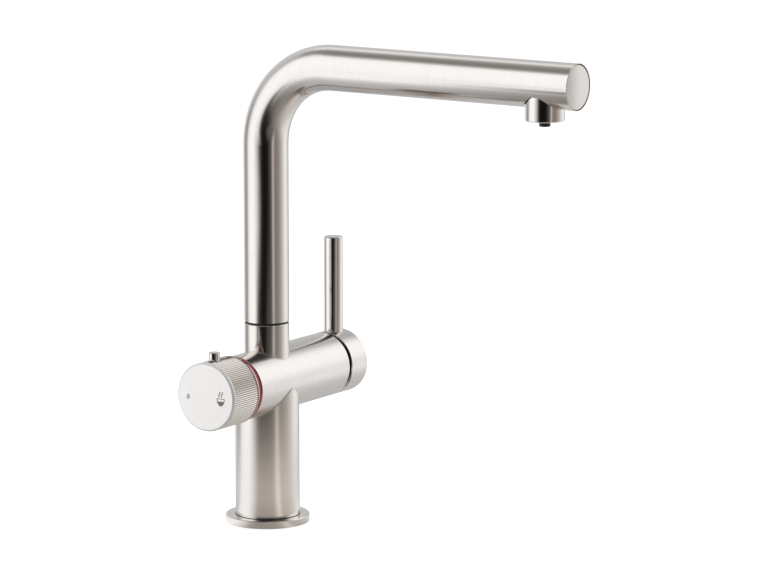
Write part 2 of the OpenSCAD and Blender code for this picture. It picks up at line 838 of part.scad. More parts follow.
module knob_screw() {
  color(steel) translate([-button_x, 0, barrel_h - spindle_d / 2 - knob_screw_len])
    cylinder(d = knob_screw_d, h = knob_screw_len);
}

module selector_spindle() {
  color(brass) difference() {
    union() {
      to_left(sel_driver) cylinder(d = driver_d, h = driver_h);
      to_left(sel_driver) cylinder(d = spindle_d, h = spindle_end - sel_driver);
      for (s = [-1, 1]) to_left(sel_driver - driver_lug_h) translate([0, s * driver_lug_r, 0])
        cylinder(d = driver_lug_d, h = driver_lug_h + 0.5);
    }
    to_left(sel_neck + neck_ring_inset) ring_groove(spindle_d, ring_section);
  }
}

module spindle_o_ring() {
  color(rubber) to_left(sel_neck + neck_ring_inset) ring_inside(spindle_d, ring_section);
}

// The channel in its face points up at rest, and to one port at each end of the knob's turn
module selector_moving_disc() {
  channel = sel_port_r + port_d / 2;
  color(ceramic) to_left(sel_moving) difference() {
    cylinder(d = sel_disc_d, h = disc_h);
    translate([0, 0, -1]) {
      cylinder(d = port_d, h = disc_h / 2 + 1);
      translate([0, -port_d / 2, 0]) cube([channel, port_d, disc_h / 2 + 1]);
    }
    for (s = [-1, 1]) translate([0, s * driver_lug_r, disc_h - driver_lug_h])
      cylinder(d = driver_lug_d, h = driver_lug_h + 1);
  }
}

// A coil spring under the button: one ring of wire for each turn, joined by a short rise
module button_spring() {
  r = (spring_d - spring_wire) / 2;
  low = button_floor + spring_wire / 2;
  rise = button_foot - button_floor - spring_wire;
  points = spring_turns * spring_steps;
  function at(i) = [r * cos(360 * i / spring_steps), r * sin(360 * i / spring_steps), low + rise * i / points];
  sides = 6;
  verts = [for (i = [0 : points], k = [0 : sides - 1])
    let (a = 360 * i / spring_steps, b = 360 * k / sides, w = spring_wire / 2)
      at(i) + [w * cos(b) * cos(a), w * cos(b) * sin(a), w * sin(b)]];
  walls = [for (i = [0 : points - 1], k = [0 : sides - 1])
    let (a = i * sides + k, b = i * sides + (k + 1) % sides) each [[a, b, b + sides], [a, b + sides, a + sides]]];
  ends = [[for (k = [sides - 1 : -1 : 0]) k], [for (k = [0 : sides - 1]) points * sides + k]];
  color(steel) translate([-button_x, 0, barrel_h]) polyhedron(verts, concat(walls, ends));
}

module safety_button() {
  color(polished) translate([-button_x, 0, barrel_h]) {
    translate([0, 0, button_foot]) bar(button_d, button_top - button_foot, 0.3);
    translate([0, 0, button_foot]) cylinder(d = button_flange_d, h = button_flange_h);
  }
}

// ---- Lever ----

module mixer_turret() {
  color(white) difference() {
    to_right(mix_turret) cylinder(d = turret_d, h = turret_h);
    to_right(mix_turret) translate([-slot_h / 2, -slot_w / 2, -1]) cube([slot_h, slot_w, turret_h + 2]);
    to_right(mix_turret) translate([-turret_d, -tongue_w / 2 - run_fit, -1])
      cube([2 * turret_d, tongue_w + 2 * run_fit, tongue_h + 1]);
    translate([pivot_x, 0, barrel_h]) rotate([90, 0, 0]) cylinder(d = pivot_d, h = turret_d, center = true);
    to_right(mix_lip - turret_ring_inset) ring_groove(turret_d, spigot_ring_section);
  }
}

module turret_o_ring() {
  color(rubber) to_right(mix_lip - turret_ring_inset) ring_inside(turret_d, spigot_ring_section);
}

module stem_pin() {
  color(steel) translate([pivot_x, 0, barrel_h]) rotate([90, 0, 0])
    cylinder(d = pivot_d, h = turret_d - 0.8, center = true);
}

module lever_stem() {
  color(steel) difference() {
    union() {
      translate([ball_x, 0, barrel_h]) sphere(d = ball_d);
      to_right(ball_x) cylinder(d = neck_bar_d, h = bar_x - ball_x + 1);
      translate([bar_x, -stem_d / 2, barrel_h - stem_d / 2]) cube([bar_end - bar_x, stem_d, stem_d]);
      to_right(bar_x) cylinder(d = stem_d, h = stem_end - bar_x);
    }
    translate([pivot_x, 0, barrel_h]) rotate([90, 0, 0])
      cylinder(d = pivot_d + 2 * run_fit, h = 2 * stem_d, center = true);
  }
}

module lever_hub() {
  drop = barrel_d;
  back = drop * tan(hub_flat_angle);
  color(satin) difference() {
    to_right(hub_back_x) bar(barrel_d, hub_len, edge);
    translate([hub_back_x, barrel_d, barrel_h - hub_flat_start]) rotate([90, 0, 0])
      linear_extrude(2 * barrel_d) polygon([[0, 0], [back, -drop], [-drop, -drop], [-drop, 0]]);
    to_right(0) cylinder(d = stem_d, h = stem_end);
    translate([rod_x, 0, barrel_h + rod_seat]) cylinder(d = rod_d, h = barrel_d);
    translate([rod_x, 0, barrel_h + barrel_d / 2 - rod_sink])
      cylinder(d1 = rod_d, d2 = rod_d + 4 * rod_sink, h = 2 * rod_sink);
    translate([rod_x, 0, barrel_h - barrel_d]) cylinder(d = lever_screw_d, h = barrel_d);
  }
}

module lever_rod() {
  color(polished) translate([rod_x, 0, barrel_h + rod_seat]) bar(rod_d, rod_rise - rod_seat, edge);
}

module lever_screw() {
  color(steel) translate([rod_x, 0, barrel_h - stem_d / 2 - lever_screw_len])
    cylinder(d = lever_screw_d, h = lever_screw_len);
}

module lever_plug() {
  color(black) translate([rod_x, 0, barrel_h - barrel_d / 2 + 0.3]) cylinder(d = lever_screw_d, h = lever_plug_len);
}

module disc_carrier() {
  color(white) difference() {
    union() {
      to_right(mix_carrier) cylinder(d = mix_disc_d, h = carrier_h);
      to_right(mix_carrier) translate([-tongue_len / 2, -tongue_w / 2, 0])
        cube([tongue_len, tongue_w, carrier_h + tongue_h]);
    }
    to_right(ball_x - ball_d / 2 - ball_play) cylinder(d = ball_d + 2 * ball_play, h = turret_h);
  }
}

module mixer_moving_disc() {
  color(ceramic) to_right(mix_moving) difference() {
    cylinder(d = mix_disc_d, h = disc_h);
    translate([0, 0, -1]) intersection() {
      cylinder(d = mix_recess_d, h = mix_recess_h + 1);
      translate([-mix_recess_top, -mix_disc_d, 0]) cube(2 * mix_disc_d);
    }
  }
}

base_ring();
base_gasket();
body_shell();
inlet_manifold();
manifold_clip();
cold_riser();
hot_riser();
filtered_riser();
boiling_riser();
riser_o_rings();
valve_core();
spout_spigot();
spigot_o_rings();
tube_o_ring();
lower_glide_ring();
upper_glide_ring();
spout_clip();
red_ring();
selector_housing();
selector_nut();
selector_seal();
selector_fixed_disc();
stop_ring();
mixer_base();
mixer_base_seals();
mixer_fixed_disc();
mixer_housing();
mixer_nut();
mixer_shroud();
spout_pipe();
spout_bush();
end_cap();
end_cap_seal();
outlet_block();
outlet_collar();
aerator();
aerator_seal();
boiling_nozzle();
boiling_tube();
knob_sleeve();
knob_cap();
knob_hub();
knob_screw();
selector_spindle();
spindle_o_ring();
selector_moving_disc();
button_spring();
safety_button();
mixer_turret();
turret_o_ring();
stem_pin();
lever_stem();
lever_hub();
lever_rod();
lever_screw();
lever_plug();
disc_carrier();
mixer_moving_disc();
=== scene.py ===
"""Boiling water tap: finishes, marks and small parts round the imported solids, and the studio."""
import json
import math

import bmesh
import bpy
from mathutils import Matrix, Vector


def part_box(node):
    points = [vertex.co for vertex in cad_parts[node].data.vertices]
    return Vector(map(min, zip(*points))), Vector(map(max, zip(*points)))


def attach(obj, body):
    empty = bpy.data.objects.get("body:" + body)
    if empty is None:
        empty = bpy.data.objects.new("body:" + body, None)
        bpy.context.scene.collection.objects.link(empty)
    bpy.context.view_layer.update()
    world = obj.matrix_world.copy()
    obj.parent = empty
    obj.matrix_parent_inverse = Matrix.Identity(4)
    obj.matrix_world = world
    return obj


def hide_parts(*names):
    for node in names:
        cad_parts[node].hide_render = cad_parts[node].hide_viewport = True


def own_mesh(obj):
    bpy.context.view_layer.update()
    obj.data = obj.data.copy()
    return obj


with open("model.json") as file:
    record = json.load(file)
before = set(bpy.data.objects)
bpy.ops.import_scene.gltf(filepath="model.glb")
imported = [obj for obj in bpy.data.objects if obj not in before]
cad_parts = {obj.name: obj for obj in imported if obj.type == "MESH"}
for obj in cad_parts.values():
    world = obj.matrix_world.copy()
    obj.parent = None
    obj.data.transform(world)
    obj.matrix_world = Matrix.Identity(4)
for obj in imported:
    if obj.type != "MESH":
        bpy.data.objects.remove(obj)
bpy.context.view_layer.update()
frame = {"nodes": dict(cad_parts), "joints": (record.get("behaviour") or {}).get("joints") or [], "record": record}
bpy.ops.object.select_all(action="DESELECT")
scene = bpy.context.scene
nodes = frame["nodes"]
joints = {row["name"]: row for row in frame["joints"]}

# ---- Places and sizes on the tap, in metres ----

BARREL_AXIS = Vector((0, 0, joints["knob_turn"]["pos_m"][2]))
BARREL_RADIUS = 0.0232
BARREL_END_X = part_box("body_shell")[0].x
COLUMN_RADIUS = 0.0230
NECK_FOOT_Z = 0.1250
BASE_TOP_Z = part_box("base_ring")[1].z

KNOB_FACE_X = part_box("knob_cap")[0].x
KNOB_REAR_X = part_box("knob_sleeve")[1].x
KNOB_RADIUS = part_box("knob_cap")[1].y
KNOB_CHAMFER = 0.0012

PIPE_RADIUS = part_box("spout_pipe")[1].x
PIPE_END_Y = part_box("spout_pipe")[0].y
SPOUT_AXIS_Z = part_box("spout_pipe")[1].z - PIPE_RADIUS
BEND_RADIUS = 0.057
BEND_CENTRE_Z = SPOUT_AXIS_Z - BEND_RADIUS
END_CAP_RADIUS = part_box("end_cap")[1].x
OUTLET = (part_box("outlet_collar")[0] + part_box("outlet_collar")[1]) / 2
AERATOR_FACE_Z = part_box("aerator")[0].z
COMB_TOP_Z = AERATOR_FACE_Z - 0.00002

ROD_RADIUS = 0.0068
ROD_X = 0.0845

# ---- Node building ----


class Graph:
    """A node tree with short calls for adding and joining nodes."""

    def __init__(self, tree):
        self.tree = tree

    def feed(self, socket, value):
        """Gives an input another node's output, or a plain value."""
        if isinstance(value, bpy.types.NodeSocket):
            self.tree.links.new(value, socket)
        else:
            socket.default_value = value

    def add(self, kind, values=None, **settings):
        """Adds a node. Values go to its inputs, by name or number, and settings to the node itself."""
        node = self.tree.nodes.new(kind)
        for name, value in settings.items():
            setattr(node, name, value)
        for name, value in (values or {}).items():
            self.feed(node.inputs[name], value)
        return node

    def use(self, group, values):
        return self.add("ShaderNodeGroup", values, node_tree=group).outputs

    def math(self, operation, *values):
        return self.add("ShaderNodeMath", dict(enumerate(values)), operation=operation).outputs[0]

    def hypot(self, a, b):
        return self.math("SQRT", self.math("ADD", self.math("MULTIPLY", a, a), self.math("MULTIPLY", b, b)))

    def vector(self, operation, *values, out=0):
        return self.add("ShaderNodeVectorMath", dict(enumerate(values)), operation=operation).outputs[out]

    def split(self, vector):
        return self.add("ShaderNodeSeparateXYZ", {0: vector}).outputs

    def join(self, x, y, z):
        return self.add("ShaderNodeCombineXYZ", {0: x, 1: y, 2: z}).outputs[0]

    def smooth(self, value, low, high, to_low=0.0, to_high=1.0):
        """Goes gently from to_low to to_high while value goes from low to high."""
        values = {"Value": value, "From Min": low, "From Max": high, "To Min": to_low, "To Max": to_high}
        return self.add("ShaderNodeMapRange", values, interpolation_type="SMOOTHSTEP").outputs["Result"]

    def noise(self, place, scale, detail=2.0, roughness=0.5):
        values = {"Vector": place, "Scale": scale, "Detail": detail, "Roughness": roughness}
        return self.add("ShaderNodeTexNoise", values).outputs[0]

    def mix(self, factor, a, b):
        """Mixes two colours, each an output or (red, green, blue)."""
        a, b = ((*colour, 1) if isinstance(colour, tuple) else colour for colour in (a, b))
        return self.add("ShaderNodeMix", {0: factor, 6: a, 7: b}, data_type="RGBA").outputs[2]

    def ramp(self, factor, stops):
        """A colour ramp from (place, colour) stops."""
        node = self.add("ShaderNodeValToRGB", {"Fac": factor})
        ramp = node.color_ramp
        while len(ramp.elements) < len(stops):
            ramp.elements.new(0.5)
        for element, (place, colour) in zip(ramp.elements, stops):
            element.position = place
            element.color = (*colour, 1)
        return node.outputs["Color"]


def new_group(name, inputs, outputs):
    """An empty node group. Inputs are (label, kind, first value) and outputs are (label, kind).

    Returns its graph, what it is given and what it results in.
    """
    tree = bpy.data.node_groups.new(name, "ShaderNodeTree")
    for label, kind, value in inputs:
        socket = tree.interface.new_socket(label, in_out="INPUT", socket_type=kind)
        if value is not None:
            socket.default_value = value
    for label, kind in outputs:
        tree.interface.new_socket(label, in_out="OUTPUT", socket_type=kind)
    graph = Graph(tree)
    return graph, graph.add("NodeGroupInput").outputs, graph.add("NodeGroupOutput").inputs


# ---- Effects that several finishes share ----


def make_brushed_lines():
    """Fine lines left by a belt or a lathe tool. Position's X runs across the lines, Y and Z along them."""
    g, given, result = new_group(
        "brushed_lines",
        [("Position", "NodeSocketVector", None), ("Lines", "NodeSocketFloat", 2400.0),
         ("Streaks", "NodeSocketFloat", 9.0)],
        [("Tone", "NodeSocketFloat"), ("Height", "NodeSocketFloat")])

    def layer(across, along):
        place = g.vector("MULTIPLY", given["Position"], g.join(across, along, along))
        return g.noise(place, 1.0, roughness=0.6)

    fine = layer(given["Lines"], given["Streaks"])
    broad = layer(g.math("MULTIPLY", given["Lines"], 0.3), g.math("MULTIPLY", given["Streaks"], 2.0))
    both = g.math("ADD", g.math("MULTIPLY", fine, 0.5), g.math("MULTIPLY", broad, 0.5))
    g.feed(result["Tone"], g.smooth(both, 0.3, 0.7))
    g.feed(result["Height"], fine)
    return g.tree


def make_handling():
    """Faint wiped marks and dried spots, of about Size metres, that dull a surface here and there."""
    g, given, result = new_group(
        "handling", [("Position", "NodeSocketVector", None), ("Size", "NodeSocketFloat", 0.02)],
        [("Mask", "NodeSocketFloat")])
    scale = g.math("DIVIDE", 1.0, given["Size"])
    cloud = g.noise(given["Position"], scale, detail=4.0, roughness=0.55)
    cells = {"Vector": given["Position"], "Scale": g.math("MULTIPLY", scale, 5.0)}
    spots = g.add("ShaderNodeTexVoronoi", cells, feature="DISTANCE_TO_EDGE").outputs[0]
    g.feed(result["Mask"], g.math("MULTIPLY", g.smooth(cloud, 0.45, 0.75), g.smooth(spots, 0.0, 0.3)))
    return g.tree


def make_grain():
    """The fine moulded or cast grain of plastic, rubber and ceramic."""
    g, given, result = new_group(
        "moulded_grain", [("Position", "NodeSocketVector", None), ("Scale", "NodeSocketFloat", 4000.0)],
        [("Tone", "NodeSocketFloat"), ("Height", "NodeSocketFloat")])
    grain = g.noise(given["Position"], given["Scale"])
    cloud = g.noise(given["Position"], g.math("MULTIPLY", given["Scale"], 0.05))
    g.feed(result["Tone"], g.math("MULTIPLY_ADD", grain, 0.5, g.math("MULTIPLY", cloud, 0.5)))
    g.feed(result["Height"], grain)
    return g.tree


BRUSHED_LINES = make_brushed_lines()
HANDLING = make_handling()
GRAIN = make_grain()

# ---- Finishes. A pair of tones is the darkest and the lightest colour that one shows ----

NICKEL = ((0.785, 0.755, 0.73), (0.815, 0.785, 0.76))
FACE_NICKEL = ((0.825, 0.81, 0.795), (0.85, 0.84, 0.83))
END_NICKEL = ((0.765, 0.73, 0.695), (0.785, 0.75, 0.72))
POLISHED = ((0.80, 0.77, 0.75), (0.82, 0.79, 0.77))
POLISHED_ROD = ((0.79, 0.76, 0.735), (0.82, 0.79, 0.765))
BRASS = ((0.60, 0.42, 0.16), (0.78, 0.58, 0.27))
COPPER = ((0.62, 0.30, 0.17), (0.80, 0.44, 0.28))
STEEL = ((0.42, 0.42, 0.43), (0.60, 0.60, 0.61))
BLACK_PLASTIC = ((0.010, 0.010, 0.011), (0.022, 0.021, 0.021))
WHITE_PLASTIC = ((0.70, 0.69, 0.66), (0.82, 0.81, 0.78))
RED_PLASTIC = ((0.30, 0.020, 0.026), (0.36, 0.028, 0.034))
RUBBER = ((0.012, 0.012, 0.012), (0.028, 0.027, 0.026))
CERAMIC = ((0.80, 0.78, 0.74), (0.90, 0.89, 0.86))
GREY_PRINT = ((0.215, 0.19, 0.175), (0.26, 0.235, 0.22))
LIGHT_PRINT = ((0.60, 0.59, 0.58), (0.66, 0.65, 0.64))

# Painted shade for the knurl's grooves.
GROOVE_SHADE = (0.42, 0.375, 0.34)
# Painted reflection of the red ring on the metal beside it.
PAINTED_RED_REFLECTION = (0.82, 0.52, 0.50)
# Painted shade: the red ring as the metal mirrors it.
RED_SHADED_IN_MIRROR = (0.03, 0.012, 0.012)
# Painted shade on the end cap's left half, and painted shadow along its rim on the right.
END_SHADE = (0.46, 0.435, 0.415)
END_RIM_SHADOW = (0.16, 0.15, 0.14)
# Painted shadow along the rim of the pipe's mouth, on its right.
PIPE_RIM_SHADOW = (0.12, 0.11, 0.10)
METAL_WEAR = 0.1


class Finish(Graph):
    """A material's node tree, with the inputs of its shader and the place on the piece."""

    def __init__(self, name):
        self.material = bpy.data.materials.new(name)
        self.material.use_nodes = True
        super().__init__(self.material.node_tree)
        self.shader = self.tree.nodes["Principled BSDF"].inputs
        self.place = self.add("ShaderNodeTexCoord").outputs["Object"]

    def place_from(self, centre):
        return self.vector("SUBTRACT", self.place, tuple(centre))

    def metal(self, lines, tones, rough, spread=0.01, depth=0.00001, tangent=None, painted_light_and_shade=None):
        """Brushed metal: the lines change its colour and roughness and lift its surface, and wiped
        marks dull it. Its last argument, a (mask, colour) pair, paints light and shade on it: the red
        ring's painted reflection beside the ring, and painted shade and shadow at the spout's end.
        """
        brushed = self.use(BRUSHED_LINES, {"Position": lines})
        marks = self.use(HANDLING, {"Position": self.place, "Size": 0.03})["Mask"]
        colour = self.mix(brushed["Tone"], *tones)
        colour = self.mix(self.math("MULTIPLY", marks, METAL_WEAR), colour, tones[0])
        # Painted light and shade, where given, go over the metal's colour.
        if painted_light_and_shade:
            colour = self.mix(painted_light_and_shade[0], colour, painted_light_and_shade[1])
        self.feed(self.shader["Base Color"], colour)
        level = self.math("MULTIPLY_ADD", brushed["Tone"], -2 * spread, self.math("ADD", rough, spread))
        self.feed(self.shader["Roughness"], self.math("MULTIPLY_ADD", marks, 0.2 * METAL_WEAR, level))
        self.bump(0.04, depth, brushed["Height"])
        self.shader["Metallic"].default_value = 1.0
        if tangent is not None:
            spaces = {"vector_type": "VECTOR", "convert_from": "OBJECT", "convert_to": "WORLD"}
            world = self.add("ShaderNodeVectorTransform", {0: tangent}, **spaces)
            self.feed(self.shader["Tangent"], world.outputs[0])

    def bump(self, strength, depth, height):
        node = self.add("ShaderNodeBump", {"Strength": strength, "Distance": depth, "Height": height})
        self.feed(self.shader["Normal"], node.outputs[0])


def across_y(f, position):
    """Position for lines that run round the Y axis: X across them, the rest along."""
    s = f.split(position)
    return f.join(s[1], s[0], s[2])


def across_z(f, position):
    """Position for lines that run round the Z axis."""
    s = f.split(position)
    return f.join(s[2], s[0], s[1])


def off_axis(f, position):
    """How far a position is from its own X axis."""
    s = f.split(position)
    return f.hypot(s[1], s[2])


def lathe_rings(f, position):
    """Position for the rings round the X axis on a face that looks along it."""
    s = f.split(position)
    return f.join(f.math("ADD", off_axis(f, position), s[0]), s[1], s[2])


def hub_nickel():
    """Satin nickel, brushed round the barrel's axis."""
    f = Finish("brushed_nickel_hub")
    f.shader["Anisotropic"].default_value = 0.4
    f.metal(f.place_from(BARREL_AXIS), NICKEL, 0.2, tangent=(1, 0, 0))
    return f


def knurled_nickel():
    """The knob's grip, with painted shade that darkens its grooves below its crests, and a painted reflection of
    the red ring that reddens its rear.
    """
    f = Finish("brushed_nickel_knurl")
    local = f.place_from(BARREL_AXIS)
    # Painted shade: the grooves get a darker colour than the crests.
    crest = f.smooth(off_axis(f, local), KNOB_RADIUS - 0.00050, KNOB_RADIUS - 0.00012)
    tones = [f.mix(crest, GROOVE_SHADE, tone) for tone in NICKEL]
    # Painted reflection of the red ring on the knurl's rear.
    red = f.smooth(f.split(f.place)[0], KNOB_REAR_X - 0.0024, KNOB_REAR_X - 0.0018, 0.0, 0.85)
    f.metal(local, tones, 0.22, painted_light_and_shade=(red, PAINTED_RED_REFLECTION))
    return f


def base_nickel():
    """The foot ring: turned, with a finer finish on its top than on its side."""
    f = Finish("brushed_nickel_base")
    rough = f.smooth(f.split(f.place)[2], BASE_TOP_Z - 0.0006, BASE_TOP_Z - 0.0002, 0.26, 0.13)
    f.shader["Anisotropic"].default_value = 0.3
    f.metal(across_z(f, f.place), NICKEL, rough, tangent=(0, 0, 1))
    return f


def knob_face_nickel():
    """The knob's face: faint rings from the lathe, and a chamfer that is matt and pale."""
    f = Finish("brushed_nickel_face")
    local = f.place_from(BARREL_AXIS)
    edge = KNOB_RADIUS - KNOB_CHAMFER
    chamfer = (off_axis(f, local), edge - 0.0002, edge + 0.0001)
    f.feed(f.shader["Metallic"], f.smooth(*chamfer, 1.0, 0.35))
    rough = f.smooth(*chamfer, 0.3, 0.5)
    f.metal(lathe_rings(f, local), FACE_NICKEL, rough, spread=0.005, depth=0.000001)
    return f


def end_cap_nickel():
    """The spout's end cap: faint rings, painted shade on its left half, and a painted shadow along its rim on the
    right.
    """
    f = Finish("brushed_nickel_end")
    local = across_y(f, f.place_from((0, 0, SPOUT_AXIS_Z)))
    x = f.split(f.place)[0]  # grows from the cap's left to its right
    # Painted shadow along the rim on the right, and painted shade over the left half.
    near_rim = f.smooth(off_axis(f, local), END_CAP_RADIUS - 0.0009, END_CAP_RADIUS - 0.0003)
    rim = f.math("MULTIPLY", near_rim, f.smooth(x, -0.004, 0.008))
    shade = f.math("MAXIMUM", f.smooth(x, -0.0165, 0.006, 1.0, 0.0), rim)
    f.metal(lathe_rings(f, local), END_NICKEL, 0.25, spread=0.005, depth=0.000001,
            painted_light_and_shade=(shade, f.mix(rim, END_SHADE, END_RIM_SHADOW)))
    return f


def shell_nickel():
    """The column, neck and barrel: lines round the upright tubes, and round the barrel on the barrel."""
    f = Finish("brushed_nickel_shell")
    local = f.place_from(BARREL_AXIS)
    upright = f.math("GREATER_THAN", off_axis(f, local), BARREL_RADIUS + 0.00003)
    lines = f.mix(upright, local, across_z(f, f.place))
    tangent = f.mix(upright, (1, 0, 0), (0, 0, 1))
    s = f.split(f.place)
    neck = f.smooth(s[2], NECK_FOOT_Z - 0.0005, NECK_FOOT_Z + 0.0005)
    rough = f.math("MULTIPLY_ADD", neck, -0.07, 0.20)
    # Painted reflection of the red ring on the barrel's left end.
    red = f.smooth(s[0], BARREL_END_X + 0.0009, BARREL_END_X + 0.0007, 0.0, 0.6)
    f.shader["Anisotropic"].default_value = 0.4
    f.metal(lines, NICKEL, rough, tangent=tangent, painted_light_and_shade=(red, PAINTED_RED_REFLECTION))
    return f


def pipe_nickel():
    """The spout pipe: the lines run round it and follow its bend, and a painted shadow darkens the right of its
    mouth's rim.
    """
    f = Finish("brushed_nickel_pipe")
    s = f.split(f.place)
    back = f.math("ADD", s[1], BEND_RADIUS)
    up = f.math("SUBTRACT", s[2], BEND_CENTRE_Z)
    turn = f.math("ARCTAN2", f.math("MAXIMUM", up, 0.0), f.math("MAXIMUM", back, 0.00001))
    run = f.math("ADD", f.math("MINIMUM", up, 0.0), f.math("MULTIPLY", turn, BEND_RADIUS))
    run = f.math("ADD", run, f.math("MAXIMUM", f.math("MULTIPLY", back, -1.0), 0.0))
    lines = f.join(run, s[0], f.math("ADD", s[1], s[2]))
    path = f.join(0.0, f.math("MULTIPLY", f.math("SINE", turn), -1.0), f.math("COSINE", turn))
    # Painted shadow along the rim of the pipe's mouth, on its right.
    end = f.smooth(s[1], PIPE_END_Y + 0.0005, PIPE_END_Y + 0.0003)
    rim = f.math("MULTIPLY", end, f.smooth(s[0], -0.010, 0.004))
    f.shader["Anisotropic"].default_value = 0.3
    f.metal(lines, NICKEL, 0.125, tangent=path, painted_light_and_shade=(rim, PIPE_RIM_SHADOW))
    return f


def plain_metal(name, tones, rough, depth=0.000004):
    """Machined or polished metal with a faint tool grain."""
    f = Finish(name)
    f.metal(across_z(f, f.place), tones, rough, depth=depth)
    return f


def moulded(name, tones, rough, scale=4000.0, coat=0.0):
    """Plastic, rubber, ceramic or print with its fine grain."""
    f = Finish(name)
    grain = f.use(GRAIN, {"Position": f.place, "Scale": scale})
    marks = f.use(HANDLING, {"Position": f.place, "Size": 0.02})["Mask"]
    f.feed(f.shader["Base Color"], f.mix(grain["Tone"], *tones))
    level = f.smooth(grain["Tone"], 0.2, 0.8, rough + 0.05, rough - 0.05)
    f.feed(f.shader["Roughness"], f.math("MULTIPLY_ADD", marks, 0.08, level))
    f.bump(0.3, 0.00002, grain["Height"])
    f.shader["Coat Weight"].default_value = coat
    return f


def ring_plastic():
    """The red ring. What the metal round it mirrors of it is painted shade, a near black, since the ring is set
    back in its groove.
    """
    f = moulded("red_ring_satin", RED_PLASTIC, 0.35)
    colour = f.shader["Base Color"]
    # Painted shade: glossy rays see the ring nearly black.
    seen_in_metal = f.math("MULTIPLY", f.add("ShaderNodeLightPath").outputs["Is Glossy Ray"], 0.8)
    f.feed(colour, f.mix(seen_in_metal, colour.links[0].from_socket, RED_SHADED_IN_MIRROR))
    return f


finishes = {
    "shell": shell_nickel(),
    "pipe": pipe_nickel(),
    "base": base_nickel(),
    "hub": hub_nickel(),
    "knurl": knurled_nickel(),
    "face": knob_face_nickel(),
    "end": end_cap_nickel(),
    "polished": plain_metal("polished_nickel", POLISHED, 0.06, depth=0.0000005),
    "rod": plain_metal("polished_nickel_rod", POLISHED_ROD, 0.11, depth=0.000001),
    "brass": plain_metal("brass_machined", BRASS, 0.3),
    "copper": plain_metal("copper_drawn", COPPER, 0.28),
    "steel": plain_metal("steel_plain", STEEL, 0.32),
    "black_plastic": moulded("black_plastic_moulded", BLACK_PLASTIC, 0.42),
    "white_plastic": moulded("white_plastic_moulded", WHITE_PLASTIC, 0.42),
    "red_plastic": ring_plastic(),
    "rubber": moulded("rubber_black", RUBBER, 0.62, scale=6000.0),
    "ceramic": moulded("ceramic_disc", CERAMIC, 0.18, coat=0.3),
    "cup_print": moulded("printed_grey", GREY_PRINT, 0.4),
    "drop_print": moulded("printed_light_grey", LIGHT_PRINT, 0.4),
}

NODE_FINISH = {"body_shell": "shell", "spout_pipe": "pipe", "base_ring": "base", "lever_hub": "hub",
               "knob_sleeve": "knurl", "knob_cap": "face", "end_cap": "end", "lever_rod": "rod"}
SLOT_FINISH = {"brushed_nickel": "hub", "polished_nickel": "polished"}

for row in frame["record"]["subparts"]:
    slot = row["material_slot"]
    finish = NODE_FINISH.get(row["node"], SLOT_FINISH.get(slot, slot))
    for holder in nodes[row["node"]].material_slots:
        holder.material = finishes[finish].material

# ---- Making a piece ----


def start_piece(add_form, **settings):
    """Adds a form by itself and returns it."""
    bpy.ops.object.select_all(action="DESELECT")
    add_form(**settings)
    return bpy.context.active_object


def pick(piece):
    bpy.ops.object.select_all(action="DESELECT")
    piece.select_set(True)
    bpy.context.view_layer.objects.active = piece


def open_mesh(piece):
    """Edit mode, with everything selected."""
    pick(piece)
    bpy.ops.object.mode_set(mode="EDIT")
    bpy.ops.mesh.select_mode(type="VERT")
    bpy.ops.mesh.select_all(action="SELECT")


def close_mesh():
    bpy.ops.object.mode_set(mode="OBJECT")


def choose(piece, keeps, faces=False):
    """In edit mode, selects the vertices, or the faces, whose place in the piece passes the test."""
    mesh = bmesh.from_edit_mesh(piece.data)
    bpy.ops.mesh.select_all(action="DESELECT")
    if faces:
        bpy.ops.mesh.select_mode(type="FACE")
        for face in mesh.faces:
            face.select_set(keeps(face.calc_center_median()))
    else:
        for vertex in mesh.verts:
            vertex.select_set(keeps(vertex.co))
    mesh.select_flush_mode()
    bmesh.update_edit_mesh(piece.data)


def apply_modifiers(piece):
    pick(piece)
    for modifier in list(piece.modifiers):
        bpy.ops.object.modifier_apply(modifier=modifier.name)


def finish_piece(piece, name, finish, body, angle=30):
    """Puts the piece's place into its mesh, and gives it its name, its finish and the body it moves with."""
    piece.name = name
    piece.data.name = name
    open_mesh(piece)
    bpy.ops.mesh.normals_make_consistent(inside=False)
    close_mesh()
    bpy.ops.object.transform_apply(location=True, rotation=True, scale=True)
    bpy.ops.object.shade_smooth_by_angle(angle=math.radians(angle))
    piece.data.materials.clear()
    piece.data.materials.append(finishes[finish].material)
    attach(piece, body)


def add_turned_ring(outer, inner, low, high, centre):
    """A ring turned round an upright axis, from a small bevelled section."""
    bevel = 0.0001
    ring = start_piece(bpy.ops.mesh.primitive_plane_add, size=1.0, rotation=(math.pi / 2, 0, 0),
                       location=(centre.x, centre.y, (low + high) / 2))
    open_mesh(ring)
    bpy.ops.transform.resize(value=(outer - inner, 1, high - low))
    bpy.ops.transform.translate(value=((outer + inner) / 2, 0, 0))
    bpy.ops.mesh.select_mode(type="VERT")
    bpy.ops.mesh.bevel(offset=bevel, segments=2, affect="VERTICES")
    bpy.ops.mesh.select_all(action="SELECT")
    bpy.ops.mesh.delete(type="ONLY_FACE")
    close_mesh()
    bpy.ops.object.transform_apply(location=False, rotation=True, scale=True)
    turn = ring.modifiers.new("turn", "SCREW")
    turn.steps = turn.render_steps = 96
    turn.use_merge_vertices = True
    turn.merge_threshold = 0.000001
    apply_modifiers(ring)
    return ring


